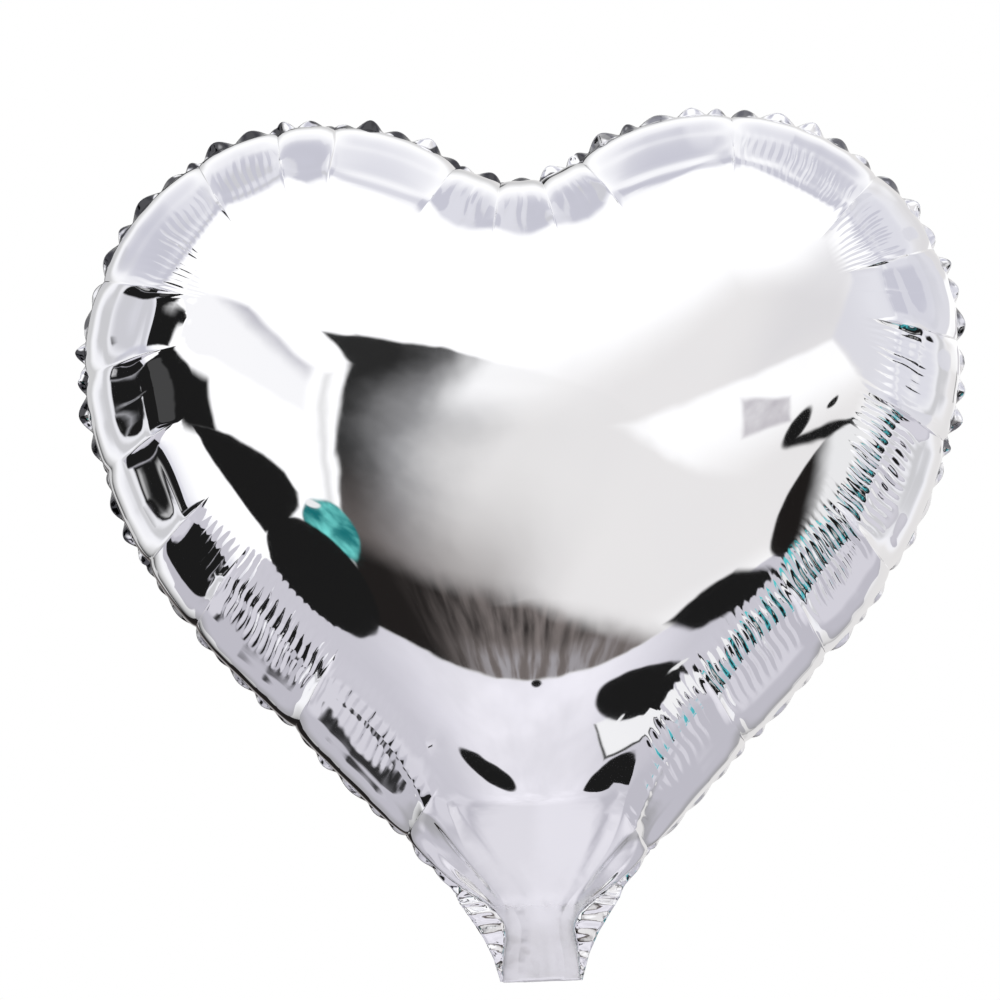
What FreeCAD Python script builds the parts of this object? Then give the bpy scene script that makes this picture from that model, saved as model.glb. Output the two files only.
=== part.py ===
"""Heart-shaped foil balloon, inflated, with its self-sealing valve.

Frame: millimetres, +Z up through the notch of the heart, -Y the front, X across. The origin is on the neck
crease, the line on which the flat tail folds against the body and round which a ribbon is tied.

The balloon is two metallised films welded together round the heart outline. Each film runs on through the
neck as one side of a flat tail. Inside the tail and the neck lies the valve, two plain films welded along
their edges. Real film is a few hundredths of a millimetre thick, so the wall sizes here stand in for it.
"""

import FreeCAD, Part
import math
import os

import Sketcher

SIZES = {
    # heart outline at the cut edge: notch arc, lobe arc, side arc, then a straight run down to the neck
    "lobe_x": 83.0,
    "lobe_z": 234.0,
    "lobe_radius": 106.0,
    "notch_radius": 39.0,
    "side_radius": 207.0,
    "side_turn": 10.0,
    "lower_slope": 44.0,
    "margin_foot": 2.4,
    "weld_foot": 4.0,
    "weld_width": 6.0,
    # dome of each panel
    "half_depth": 93.0,
    "crown_z": 200.0,
    # stand-in thicknesses of the films and of the weld between the two panels
    "panel_wall": 0.5,
    "valve_wall": 0.3,
    "seal_gap": 0.2,
    # neck slot that the valve passes through
    "slot_half_width": 14.0,
    "slot_depth": 1.0,
    "slot_height": 12.0,
    # tail
    "tail_top": 1.6,
    "tail_length": 29.0,
    "tail_half_width": 18.5,
    "shoulder_half_width": 23.5,
    "shoulder_drop": 11.0,
    "tail_corner": 2.0,
    "channel_gap": 0.4,
    "mouth_half_width": 13.0,
    # valve inside the body
    "valve_root": 5.5,
    "valve_length": 70.0,
    "valve_end_half_width": 10.0,
    "valve_weld_width": 2.0,
    # welds that hold the valve in the neck, and the coating that keeps the channel open
    "anchor_half_width": 12.5,
    "anchor_foot": 2.6,
    "anchor_height": 2.4,
    "release_half_width": 10.5,
    "release_drop": 4.0,
    "release_height": 10.0,
    "release_wall": 0.1,
    # how far a cut runs past what it cuts
    "overrun": 1.0,
}
DOME_TURNS = (0, 9, 20, 34, 50, 68, 86)  # degrees from the weld plane towards the crown
TOUCHING = 1e-6  # places closer than this are the same place
OUT = "parts"


class Term:
    """A number together with the sheet expression that gives it, so that each formula is written once."""

    def __init__(self, value, text):
        self.value = value
        self.text = text

    def __add__(self, other):
        return Term(self.value + number(other), f"({self.text} + {wording(other)})")

    def __sub__(self, other):
        return Term(self.value - number(other), f"({self.text} - {wording(other)})")

    def __mul__(self, other):
        return Term(self.value * number(other), f"({self.text} * {wording(other)})")

    def __truediv__(self, other):
        return Term(self.value / number(other), f"({self.text} / {wording(other)})")

    def __neg__(self):
        return Term(-self.value, f"(-1 * {self.text})")


def number(term):
    return term.value if isinstance(term, Term) else term


def wording(term):
    return term.text if isinstance(term, Term) else str(term)


def of_angle(function, degrees):
    """The sine, cosine or tangent, by name, of an angle in degrees."""
    value = getattr(math, function)(math.radians(number(degrees)))
    return Term(value, f"{function}({wording(degrees)} * 1 deg)")


def root(term):
    return Term(math.sqrt(term.value), f"sqrt({term.text})")


NOTHING = Term(0.0, "0")


# ---- the sheet ----

doc = FreeCAD.newDocument("heart_foil_balloon")
sheet = doc.addObject("Spreadsheet::Sheet", "Dims")
dims = {}
for line, (alias, value) in enumerate(SIZES.items(), start=1):
    sheet.set(f"A{line}", alias)
    sheet.set(f"B{line}", str(value))
    sheet.setAlias(f"B{line}", alias)
    dims[alias] = Term(value, f"Dims.{alias}")
doc.recompute()

bodies = []


# ---- building blocks ----


def new_body(name):
    body = doc.addObject("PartDesign::Body", name)
    body.Label = name
    body.AllowCompound = True
    bodies.append(body)
    return body


def turn_to_back(body):
    """Turns a body drawn for the front by half a turn about +Z, which makes it the back one."""
    body.Placement = FreeCAD.Placement(FreeCAD.Vector(), FreeCAD.Rotation(FreeCAD.Vector(0, 0, 1), 180))


def origin_plane(body, role):
    return next(feature for feature in body.Origin.OriginFeatures if feature.Role == role)


def new_sketch(body, name, lift=None, role="XZ_Plane"):
    """A sketch on an origin plane of its own body. On XZ_Plane, a positive lift goes towards the front."""
    sketch = body.newObject("Sketcher::SketchObject", name)
    sketch.AttachmentSupport = [(origin_plane(body, role), "")]
    sketch.MapMode = "FlatFace"
    if lift is not None:
        sketch.setExpression("AttachmentOffset.Base.z", lift.text)
    return sketch


def drive(sketch, kind, term, *where):
    """Adds a dimension of this kind and binds it to the sheet."""
    index = sketch.addConstraint(Sketcher.Constraint(kind, *where, term.value))
    sketch.setExpression(f"Constraints[{index}]", term.text)


def place(sketch, curve, point, across, up):
    """Fixes one point of a curve at its distances across and up from the sketch's origin."""
    for kind, term in (("DistanceX", across), ("DistanceY", up)):
        if term.value < 0:
            drive(sketch, kind, -term, curve, point, -1, 1)
        else:
            drive(sketch, kind, term, -1, 1, curve, point)


def point_at(across, up):
    return FreeCAD.Vector(across.value, up.value, 0)


def straight(sketch, start, end):
    return sketch.addGeometry(Part.LineSegment(point_at(*start), point_at(*end)))


def curve(sketch, centre, radius, start, end):
    circle = Part.Circle(point_at(*centre), FreeCAD.Vector(0, 0, 1), radius.value)
    return sketch.addGeometry(Part.ArcOfCircle(circle, start, end))


def meet(sketch, kind, *joints):
    """Makes ends of curves meet, each joint given as first curve, its end, second curve, its end."""
    for joint in joints:
        sketch.addConstraint(Sketcher.Constraint(kind, *joint))


def polygon(sketch, corners):
    """A closed outline of straight lines through these corners."""
    lines = [straight(sketch, a, b) for a, b in zip(corners, corners[1:] + corners[:1])]
    for this, following in zip(lines, lines[1:] + lines[:1]):
        meet(sketch, "Coincident", (this, 2, following, 1))
    for this, corner in zip(lines, corners):
        place(sketch, this, 1, *corner)


def rectangle(sketch, half_width, bottom, top):
    polygon(sketch, [(-half_width, bottom), (half_width, bottom), (half_width, top), (-half_width, top)])


def pad(body, sketch, length, midplane=False):
    feature = body.newObject("PartDesign::Pad", sketch.Name + "_pad")
    feature.Profile = sketch
    feature.setExpression("Length", length.text)
    feature.Midplane = midplane
    return feature


def loft(body, kind, name, sections):
    feature = body.newObject(kind, name)
    feature.Profile = sections[0]
    feature.Sections = sections[1:]


def mirror(body, feature, role):
    """Repeats a feature on the other side of an origin plane."""
    mirrored = body.newObject("PartDesign::Mirrored", body.Name + "_pair")
    mirrored.Originals = [feature]
    mirrored.MirrorPlane = (origin_plane(body, role), [""])
    body.Tip = mirrored


def current_volume(body):
    doc.recompute()
    return body.Shape.Volume


def cut_through(body, sketch, depth, reverse=False):
    """Pockets a sketch out of its body, by this depth on each side of it or by the whole of it one way."""
    before = current_volume(body)
    pocket = body.newObject("PartDesign::Pocket", sketch.Name + "_pocket")
    pocket.Profile = sketch
    pocket.setExpression("Length", depth.text)
    pocket.Reversed = reverse
    pocket.Midplane = not reverse
    if current_volume(body) >= before:
        raise SystemExit(f"{sketch.Label}: the pocket cut nothing")


def cut_slot(body):
    """Cuts the opening for the valve upwards through the foot of a body."""
    sketch = new_sketch(body, body.Name + "_slot", role="XY_Plane")
    rectangle(sketch, dims["slot_half_width"], -dims["slot_depth"], dims["slot_depth"])
    cut_through(body, sketch, dims["slot_height"], reverse=True)


# ---- the heart outline ----


def heart(sketch, inset, foot, turn=0):
    """The heart of eight lines and arcs, tangent to each other, set in from the cut edge, on a level foot.

    A turn shrinks it about the crown by the cosine of that angle, which gives one ring of the dome.
    """
    shrink = of_angle("cos", turn)
    crown = dims["crown_z"]

    def scaled(across, up):
        return across * shrink, crown + (up - crown) * shrink

    lobe_x, lobe_z, slope = dims["lobe_x"], dims["lobe_z"], dims["lower_slope"]
    joined = dims["lobe_radius"] + dims["notch_radius"]
    notch_z = lobe_z + root(joined * joined - lobe_x * lobe_x)
    extra = dims["side_radius"] - dims["lobe_radius"]
    side_x = lobe_x - extra * of_angle("cos", dims["side_turn"])
    side_z = lobe_z + extra * of_angle("sin", dims["side_turn"])
    lobe_radius = dims["lobe_radius"] - inset
    side_radius = dims["side_radius"] - inset
    notch_radius = dims["notch_radius"] + inset
    slope_x = side_x + side_radius * of_angle("cos", slope)
    slope_z = side_z - side_radius * of_angle("sin", slope)
    foot_x = slope_x - (slope_z - foot) * of_angle("tan", slope)

    def both(across, up):
        """A point on the right, and its mirror image on the left."""
        return scaled(across, up), scaled(-across, up)

    right_lobe, left_lobe = both(lobe_x, lobe_z)
    right_side, left_side = both(side_x, side_z)
    right_top, left_top = both(slope_x, slope_z)
    right_foot, left_foot = both(foot_x, foot)
    to_notch = math.atan2(notch_z.value - lobe_z.value, -lobe_x.value)
    hand_over = -math.radians(dims["side_turn"].value)
    leave = -math.radians(slope.value)

    notch = curve(sketch, scaled(NOTHING, notch_z), notch_radius * shrink, -to_notch, to_notch - math.pi)
    lobe_r = curve(sketch, right_lobe, lobe_radius * shrink, hand_over, to_notch)
    lobe_l = curve(sketch, left_lobe, lobe_radius * shrink, math.pi - to_notch, math.pi - hand_over)
    side_r = curve(sketch, right_side, side_radius * shrink, leave, hand_over)
    side_l = curve(sketch, left_side, side_radius * shrink, math.pi - hand_over, math.pi - leave)
    low_r = straight(sketch, right_top, right_foot)
    low_l = straight(sketch, left_foot, left_top)
    base = straight(sketch, right_foot, left_foot)

    meet(sketch, "Tangent", (notch, 2, lobe_r, 2), (lobe_r, 1, side_r, 2), (side_r, 1, low_r, 1))
    meet(sketch, "Tangent", (notch, 1, lobe_l, 1), (lobe_l, 2, side_l, 1), (side_l, 2, low_l, 2))
    meet(sketch, "Coincident", (low_r, 2, base, 1), (base, 2, low_l, 1))
    drive(sketch, "Radius", notch_radius * shrink, notch)
    for lobe_arc, side_arc, centre in ((lobe_r, side_r, right_lobe), (lobe_l, side_l, left_lobe)):
        place(sketch, lobe_arc, 3, *centre)
        drive(sketch, "Radius", lobe_radius * shrink, lobe_arc)
        drive(sketch, "Radius", side_radius * shrink, side_arc)
        drive(sketch, "DistanceY", right_side[1] - right_lobe[1], lobe_arc, 3, side_arc, 3)
    place(sketch, base, 1, *right_foot)
    place(sketch, base, 2, *left_foot)


def dome_rings(body, name, wall):
    """The outlines of one dome surface, from the weld plane to the crown, a wall inside the outer one."""
    rings = []
    start = dims["seal_gap"] / 2
    reach = dims["half_depth"] - start - wall
    for turn in DOME_TURNS:
        ring = new_sketch(body, f"{name}_{turn}", start + reach * of_angle("sin", turn))
        heart(ring, dims["weld_width"] + wall, dims["weld_foot"] + wall, turn)
        rings.append(ring)
    return rings


# ---- the body of the balloon ----


def panel(name):
    """One side of the body: a hollow dome, with the flat margin that is welded to the other side."""
    body = new_body(name)
    wall = dims["panel_wall"]
    loft(body, "PartDesign::AdditiveLoft", name + "_dome", dome_rings(body, name + "_outer", NOTHING))
    loft(body, "PartDesign::SubtractiveLoft", name + "_hollow", dome_rings(body, name + "_inner", wall))
    margin = new_sketch(body, name + "_margin", dims["seal_gap"] / 2)
    heart(margin, NOTHING, dims["margin_foot"])
    heart(margin, dims["weld_width"] + wall / 2, dims["weld_foot"] + wall / 2)
    pad(body, margin, wall)
    cut_slot(body)
    return body


def perimeter_seal():
    """The weld between the two margins. It stops at the neck, where the valve runs through."""
    body = new_body("perimeter_seal")
    ring = new_sketch(body, "perimeter_seal_ring")
    heart(ring, NOTHING, dims["margin_foot"])
    heart(ring, dims["weld_width"], dims["weld_foot"])
    pad(body, ring, dims["seal_gap"], midplane=True)
    cut_slot(body)


# ---- the tail ----


def tail_outline(sketch):
    """The tail: level at the crease, a hollow arc below each shoulder, then straight down to the cut end."""
    top, arc_end, end = -dims["tail_top"], -(dims["tail_top"] + dims["shoulder_drop"]), -dims["tail_length"]
    wide, narrow, drop = dims["shoulder_half_width"], dims["tail_half_width"], dims["shoulder_drop"]
    flare = wide - narrow
    radius = (flare * flare + drop * drop) / (flare * 2)
    sweep = math.asin(drop.value / radius.value)

    crown = straight(sketch, (-wide, top), (wide, top))
    arc_r = curve(sketch, (narrow + radius, arc_end), radius, math.pi - sweep, math.pi)
    right = straight(sketch, (narrow, arc_end), (narrow, end))
    foot = straight(sketch, (narrow, end), (-narrow, end))
    left = straight(sketch, (-narrow, end), (-narrow, arc_end))
    arc_l = curve(sketch, (-(narrow + radius), arc_end), radius, 0, sweep)
    meet(sketch, "Coincident", (crown, 2, arc_r, 1), (arc_l, 2, crown, 1))
    meet(sketch, "Coincident", (right, 2, foot, 1), (foot, 2, left, 1))
    meet(sketch, "Tangent", (arc_r, 2, right, 1), (left, 2, arc_l, 1))
    place(sketch, crown, 1, -wide, top)
    place(sketch, crown, 2, wide, top)
    place(sketch, foot, 1, narrow, end)
    place(sketch, foot, 2, -narrow, end)
    place(sketch, right, 1, narrow, arc_end)
    place(sketch, left, 2, -narrow, arc_end)


def round_end_corners(body, feature):
    """Rounds the two corners at the cut end of the tail."""
    doc.recompute()
    corners = [
        f"Edge{count}"
        for count, edge in enumerate(feature.Shape.Edges, start=1)
        if abs(edge.BoundBox.ZMax + dims["tail_length"].value) < TOUCHING and edge.BoundBox.XLength < TOUCHING
    ]
    fillet = body.newObject("PartDesign::Fillet", body.Name + "_corners")
    fillet.Base = (feature, corners)
    fillet.setExpression("Radius", dims["tail_corner"].text)


def tail_side(name):
    """One side of the tail, the film that runs on from its panel past the neck crease."""
    body = new_body(name)
    outline = new_sketch(body, name + "_outline", dims["channel_gap"] / 2 + dims["valve_wall"])
    tail_outline(outline)
    round_end_corners(body, pad(body, outline, dims["panel_wall"]))
    return body


def tail_side_seals():
    """The two welds that close the sides of the tail, with the valve's channel between them."""
    body = new_body("tail_side_seals")
    outline = new_sketch(body, "tail_side_seals_outline")
    tail_outline(outline)
    gap = dims["channel_gap"] + dims["valve_wall"] * 2
    round_end_corners(body, pad(body, outline, gap, midplane=True))
    channel = new_sketch(body, "tail_side_seals_channel")
    over = dims["overrun"]
    rectangle(channel, dims["slot_half_width"], -(dims["tail_length"] + over), over - dims["tail_top"])
    cut_through(body, channel, gap + over)


# ---- the valve ----


def valve_corners():
    """The corners of the valve inside the body, which narrows towards its free end."""
    wide, narrow = dims["mouth_half_width"], dims["valve_end_half_width"]
    low, high = dims["valve_root"], dims["valve_root"] + dims["valve_length"]
    return [(-wide, low), (wide, low), (narrow, high), (-narrow, high)]


def valve_film(name):
    """One film of the valve inside the body. It lies on the other one and parts from it as gas comes in."""
    body = new_body(name)
    outline = new_sketch(body, name + "_outline", dims["channel_gap"] / 2)
    polygon(outline, valve_corners())
    pad(body, outline, dims["valve_wall"])
    return body


def valve_edge_welds():
    """The two welds that join the valve's films along their edges."""
    body = new_body("valve_edge_welds")
    outline = new_sketch(body, "valve_edge_welds_outline")
    weld = dims["valve_weld_width"]
    _, (low_x, low_z), (high_x, high_z), _ = valve_corners()
    polygon(outline, [(low_x - weld, low_z), (low_x, low_z), (high_x, high_z), (high_x - weld, high_z)])
    mirror(body, pad(body, outline, dims["channel_gap"], midplane=True), "YZ_Plane")


def valve_anchor_welds():
    """The two welds that hold the valve to the front and back panels where it passes the neck."""
    body = new_body("valve_anchor_welds")
    inner = dims["channel_gap"] / 2 + dims["valve_wall"]
    outline = new_sketch(body, "valve_anchor_welds_outline", inner)
    top = dims["anchor_foot"] + dims["anchor_height"]
    rectangle(outline, dims["anchor_half_width"], dims["anchor_foot"], top)
    mirror(body, pad(body, outline, dims["slot_depth"] - inner), "XZ_Plane")


def valve_mouth_film(name):
    """The stretch of a valve film that lines the tail, down to the cut end, where the straw goes in."""
    body = new_body(name)
    outline = new_sketch(body, name + "_outline", dims["channel_gap"] / 2)
    rectangle(outline, dims["mouth_half_width"], -dims["tail_length"], -dims["tail_top"])
    pad(body, outline, dims["valve_wall"])
    return body


def valve_release_coat():
    """Heat-proof coating inside the front film, which keeps the welding bar from closing the channel."""
    body = new_body("valve_release_coat")
    outline = new_sketch(body, "valve_release_coat_outline", dims["channel_gap"] / 2 - dims["release_wall"])
    top = -dims["release_drop"]
    rectangle(outline, dims["release_half_width"], top - dims["release_height"], top)
    pad(body, outline, dims["release_wall"])


# ---- the balloon ----

panel("front_panel")
turn_to_back(panel("back_panel"))
perimeter_seal()
valve_anchor_welds()
valve_film("valve_front_film")
turn_to_back(valve_film("valve_back_film"))
valve_edge_welds()
tail_side("front_tail")
turn_to_back(tail_side("back_tail"))
tail_side_seals()
valve_mouth_film("valve_mouth_front_film")
turn_to_back(valve_mouth_film("valve_mouth_back_film"))
valve_release_coat()
doc.recompute()

for item in doc.Objects:
    if {"Invalid", "Error"} & set(item.State):
        raise SystemExit(f"{item.Label} failed to build: {item.State}")
for body in bodies:
    if body.Shape.isNull() or not body.Shape.isValid() or not body.Shape.Solids:
        raise SystemExit(f"{body.Label} is not a valid solid")

os.makedirs(OUT, exist_ok=True)
for body in bodies:
    body.Shape.exportStep(os.path.join(OUT, body.Label + ".step"))
    box = body.Shape.BoundBox
    print(body.Label, len(body.Shape.Solids), "solids,", round(body.Shape.Volume, 1), "mm3,", box)
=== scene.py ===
import math

import bpy
import numpy as np
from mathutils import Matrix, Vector
from mathutils.geometry import delaunay_2d_cdt


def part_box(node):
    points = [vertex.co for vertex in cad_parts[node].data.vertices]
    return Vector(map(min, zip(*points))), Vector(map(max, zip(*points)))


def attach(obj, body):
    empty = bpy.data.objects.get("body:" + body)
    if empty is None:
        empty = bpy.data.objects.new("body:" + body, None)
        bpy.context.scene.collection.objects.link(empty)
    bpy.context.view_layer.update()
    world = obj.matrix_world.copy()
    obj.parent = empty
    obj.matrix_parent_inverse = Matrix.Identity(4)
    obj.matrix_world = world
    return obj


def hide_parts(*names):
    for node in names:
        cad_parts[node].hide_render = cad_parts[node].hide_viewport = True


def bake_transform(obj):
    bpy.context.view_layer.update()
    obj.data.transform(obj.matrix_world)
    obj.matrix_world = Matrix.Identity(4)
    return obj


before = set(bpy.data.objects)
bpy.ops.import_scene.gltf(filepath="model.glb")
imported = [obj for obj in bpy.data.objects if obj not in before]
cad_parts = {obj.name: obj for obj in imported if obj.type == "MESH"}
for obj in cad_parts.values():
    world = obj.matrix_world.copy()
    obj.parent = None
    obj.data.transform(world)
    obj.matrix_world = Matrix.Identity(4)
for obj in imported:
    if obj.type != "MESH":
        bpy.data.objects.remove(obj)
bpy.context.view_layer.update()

# The heart-shaped foil balloon's looks. Shapes are worked out in millimetres in the frame's axes (+X right,
# -Y front, +Z up, origin on the neck crease) and turned to metres when a mesh is made.
MM = 0.001


def node_box(node):
    """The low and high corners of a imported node's box, in millimetres."""
    return tuple(np.array(corner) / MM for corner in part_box(node))


HALF_WIDTH = node_box("front_panel")[1][0]
TOP = node_box("perimeter_seal")[1][2]
TAIL_END = node_box("front_tail")[0][2]

# heart outline at the cut edge
LOBE_RADIUS = 0.561 * HALF_WIDTH
LOBE_X, LOBE_Z = HALF_WIDTH - LOBE_RADIUS, TOP - LOBE_RADIUS
NOTCH_RADIUS = 39.0
SIDE_RADIUS = 207.0
SIDE_TURN = math.radians(10)
SLOPE = math.radians(44)
WELD = 4.8  # width of the welded margin round the heart
NECK_HALF_WIDTH = 16.3  # of the channel through the tail, between its welds
NECK_TURN = 3.0  # how softly the tail's weld turns into the heart's
NECK_PINCH = (5.5, 2.0, 13.0)  # how far the weld is drawn in at the neck, at what height, over what height
ARC_POINTS = 1500  # points on each of the weld line's four stretches

# the dome
HALF_DEPTH = 91.0
CROWN_Z = 184.0
PROFILE_MIX = 0.5  # 0 a flattened ellipsoid, 1 the profile of two round films blown up
NECK_FADE = (-12.0, 54.0)  # heights between which the dome rises out of the flat neck
CHANNEL_DEPTH = 1.3  # of each side of the tail

# The puffs round the weld, from the neck up the right side, over the notch and down the left side: the length
# of each along the weld, the strength of its fine pleats, and how firmly it breaks off towards the dome.
PUFFS = (
    (40, 0.0, 0.1), (60, 0.45, 0.1), (50, 0.95, 0.2), (44, 0.95, 0.3), (59, 1.0, 0.5), (43, 0.35, 1.0),
    (40, 0.1, 1.0), (39, 0.8, 0.7), (67, 0.9, 0.8), (68, 0.0, 1.0), (18, 0.8, 0.5), (16.5, 0.9, 0.4),
    (19, 0.9, 0.5), (55, 0.0, 0.7), (24, 0.0, 0.6), (36, 0.5, 0.4), (64, 0.5, 0.5), (41, 0.0, 0.6),
    (41, 0.1, 0.8), (42, 0.0, 0.5), (33, 0.2, 0.4), (59, 1.0, 0.3), (65, 0.25, 0.2), (52, 0.0, 0.1),
)
PUFF_HEIGHT = 4.6
USUAL_PUFF = 45.0  # length of a puff of that height; longer ones stand higher
OVERHANG = 2.8  # how far the puffs swell out past the weld
NECK_REACH, TOP_REACH, LOWER_REACH = 6.5, 37.0, 47.0  # how far in the puffed band goes, from the weld
LOWER_END = (330, 440)  # distances from the neck between which the lower half turns into the upper
CREASE_DEPTH = 2.4
CREASE_REACH = 2.6  # how far from a crease its V spreads
PLEAT_PITCH = 4.2
PLEAT_HEIGHT = 0.85
PLEAT_NODES = np.arange(-60, 1200, 23.0)  # distances along the weld at which the pleats' spacing drifts
BULGE = 0.9  # how far the weld moves out between two creases
PULL_IN, PULL_REACH = 1.5, 2.2  # how far a crease draws the weld in, and over what reach
WELD_WAVE = 0.9  # how far a scallop lifts the weld out of its plane

# the cut edge
SCALLOP_PITCH = 13.0
SCALLOP_SEED, RUFFLE_SEED, FINE_RUFFLE_SEED = 11, 23, 37
FLAT_SHARE = 0.1  # of the margin's width that shows where it is folded back between scallops
WEB_DROP = 4.2  # how far the web's cut edge lies below the weld point it belongs to
# heights, and the cut edge's distance from the middle at each
EDGE_HALF_WIDTH = ((-29, 17.4), (-26, 18.2), (-18, 20.3), (-9, 24.3), (0, 29.8), (26, 47.0))

FILM = 0.12  # thickness given to each film, so that it has two faces
BAND_ROWS = 28
ROW_CROWDING = 1.5  # above 1 the band's rows lie closer towards the weld
MARGIN_ROWS, MARGIN_STEP = 6, 0.7
PLAIN_STEP, PLEATED_STEP, TAIL_STEP = 1.8, 0.64, 1.1  # spacing of the band's columns
GRID = 3.0  # spacing of the dome's points


def smooth(low, high, value):
    """0 below low, 1 above high, and an S-shaped rise between them."""
    t = np.clip((value - low) / (high - low), 0, 1)
    return t * t * (3 - 2 * t)


# ---- the weld line ----


def neck_run(z):
    """How far the weld is from the middle, from the tail's end up to where the straight side ends."""
    grow = math.tan(SLOPE)
    side_x, side_z, radius = side_arc()
    line_x = side_x + radius / math.cos(SLOPE) + side_z * -grow  # the straight side, carried on to z = 0
    start = (NECK_HALF_WIDTH - line_x) / grow
    turned = np.logaddexp(0, (z - start) / NECK_TURN)
    pinch, height, spread = NECK_PINCH
    return NECK_HALF_WIDTH + grow * NECK_TURN * turned - pinch * np.exp(-(((z - height) / spread) ** 2))


def side_arc():
    """Centre and radius of the weld's long arc down the side, under the lobe."""
    extra = SIDE_RADIUS - LOBE_RADIUS
    return LOBE_X - extra * math.cos(SIDE_TURN), LOBE_Z + extra * math.sin(SIDE_TURN), SIDE_RADIUS - WELD


def half_weld():
    """Close-set points of the weld line's right half, from the tail's end to the bottom of the notch."""
    side_x, side_z, side_r = side_arc()
    notch_z = LOBE_Z + math.sqrt((LOBE_RADIUS + NOTCH_RADIUS) ** 2 - LOBE_X**2)
    to_notch = math.atan2(notch_z - LOBE_Z, -LOBE_X)
    run_z = np.linspace(TAIL_END, side_z - side_r * math.sin(SLOPE), ARC_POINTS)

    def arc(x, z, radius, start, end):
        turn = np.linspace(start, end, ARC_POINTS)[1:]
        return np.stack([x + radius * np.cos(turn), z + radius * np.sin(turn)], 1)

    return np.concatenate([
        np.stack([neck_run(run_z), run_z], 1),
        arc(side_x, side_z, side_r, -SLOPE, -SIDE_TURN),
        arc(LOBE_X, LOBE_Z, LOBE_RADIUS - WELD, -SIDE_TURN, to_notch),
        arc(0, notch_z, NOTCH_RADIUS + WELD, to_notch - math.pi, -math.pi / 2),
    ])


right_half = half_weld()
weld_line = np.concatenate([right_half, right_half[-2::-1] * (-1, 1)])
run = np.concatenate([[0], np.cumsum(np.linalg.norm(np.diff(weld_line, axis=0), axis=1))])
# distances along the weld start at the right of the neck, where it crosses the neck crease
run -= np.interp(0, right_half[:, 1][:ARC_POINTS], run[:ARC_POINTS])
LENGTH = run[-1] + run[0]  # from the right of the neck round to its left


def on_weld(s):
    """Points of the weld line at these distances, with the tangents and the inward directions."""
    point = np.stack([np.interp(s, run, weld_line[:, k]) for k in (0, 1)], 1)
    ahead = np.stack([np.interp(s + 0.4, run, weld_line[:, k]) for k in (0, 1)], 1)
    behind = np.stack([np.interp(s - 0.4, run, weld_line[:, k]) for k in (0, 1)], 1)
    tangent = ahead - behind
    tangent /= np.linalg.norm(tangent, axis=1)[:, None]
    return point, tangent, np.stack([-tangent[:, 1], tangent[:, 0]], 1)


# ---- the dome ----


class Dome:
    """The depth of the blown-up film over the heart. It starts from the sag of a soap film stretched over the
    weld line, a function made of harmonic terms and fitted to be nothing along that line."""

    SCALE = 190.0
    TERMS = 16
    POLE_TERMS = 4

    def __init__(self):
        notch_z = LOBE_Z + math.sqrt((LOBE_RADIUS + NOTCH_RADIUS) ** 2 - LOBE_X**2)
        self.poles = ((notch_z, NOTCH_RADIUS + WELD), (-40.0, 38.0))
        above = right_half[right_half[:, 1] > -6][::8]
        turn = np.linspace(-math.pi / 2, 0, 24)
        below = np.stack([above[0, 0] * np.cos(turn), above[0, 1] + 9 * np.sin(turn)], 1)
        rim = np.concatenate([below, above])
        wanted = self.bowl(rim[:, 0], rim[:, 1])
        self.weights = np.linalg.lstsq(self.basis(rim[:, 0], rim[:, 1]), wanted, rcond=1e-10)[0]
        self.peak = self.sag(np.zeros(200), np.linspace(60, 300, 200)).max()
        angle = np.linspace(0, math.pi / 2, 6000)
        step = np.sqrt(np.sin(angle)) / 2
        area = np.concatenate([[0], np.cumsum((step[1:] + step[:-1]) / 2 * (angle[1] - angle[0]))])
        self.angle, self.film_profile = angle, 1 - area / area[-1]

    def bowl(self, x, z):
        """The sag that even pressure gives a film with nothing to hold it."""
        return (x**2 + (z - CROWN_Z) ** 2) / 4

    def basis(self, x, z):
        place = ((z - CROWN_Z) + 1j * x) / self.SCALE
        columns = [(place**n).real for n in range(self.TERMS + 1)]
        for height, reach in self.poles:
            away = place - (height - CROWN_Z) / self.SCALE
            columns.append(np.log(np.abs(away)))
            columns += [((reach / self.SCALE / away) ** n).real for n in range(1, self.POLE_TERMS)]
        return np.stack(columns, 1)

    def sag(self, x, z):
        return self.basis(x, z) @ self.weights - self.bowl(x, z)

    def depth(self, x, z, correction=0.0):
        """Distance of the film from the plane of the weld."""
        share = np.clip((self.sag(x, z) - correction) / self.peak, 0, 1)
        film = np.interp(np.arcsin(1 - share), self.angle, self.film_profile)
        body = HALF_DEPTH * (PROFILE_MIX * film + (1 - PROFILE_MIX) * np.sqrt(share))
        across = np.clip(np.abs(x) / neck_run(np.minimum(z, 60.0)), 0, 1)
        channel = CHANNEL_DEPTH * np.sqrt(1 - across**2) * (1 - smooth(20, 60, z))
        return np.hypot(body * smooth(*NECK_FADE, z), channel)


dome = Dome()


# ---- puffs, creases and pleats ----

rng = np.random.RandomState(7)
PLEAT_DRIFT = rng.uniform(-0.3, 0.3, len(PLEAT_NODES)).cumsum() * 0.4
puff_lengths, puff_pleats, puff_folds = np.array(PUFFS).T
crease_at = np.concatenate([[0], np.cumsum(puff_lengths)]) * LENGTH / puff_lengths.sum()


def columns():
    """Distances along the weld of the mesh's columns, closer in the pleated puffs and at every crease."""
    places = [np.arange(run[0], 0, TAIL_STEP)]
    for start, end, (_, pleats, _) in zip(crease_at[:-1], crease_at[1:], PUFFS):
        spacing = PLEATED_STEP if pleats > 0.15 else PLAIN_STEP
        count = int((end - start) / spacing)
        even = np.linspace(0, 1, count, endpoint=False)
        places.append(start + (end - start) * (even - 0.06 * np.sin(4 * math.pi * even)))
    places.append(-places[0][::-1] + crease_at[-1])
    return np.concatenate(places)


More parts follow.
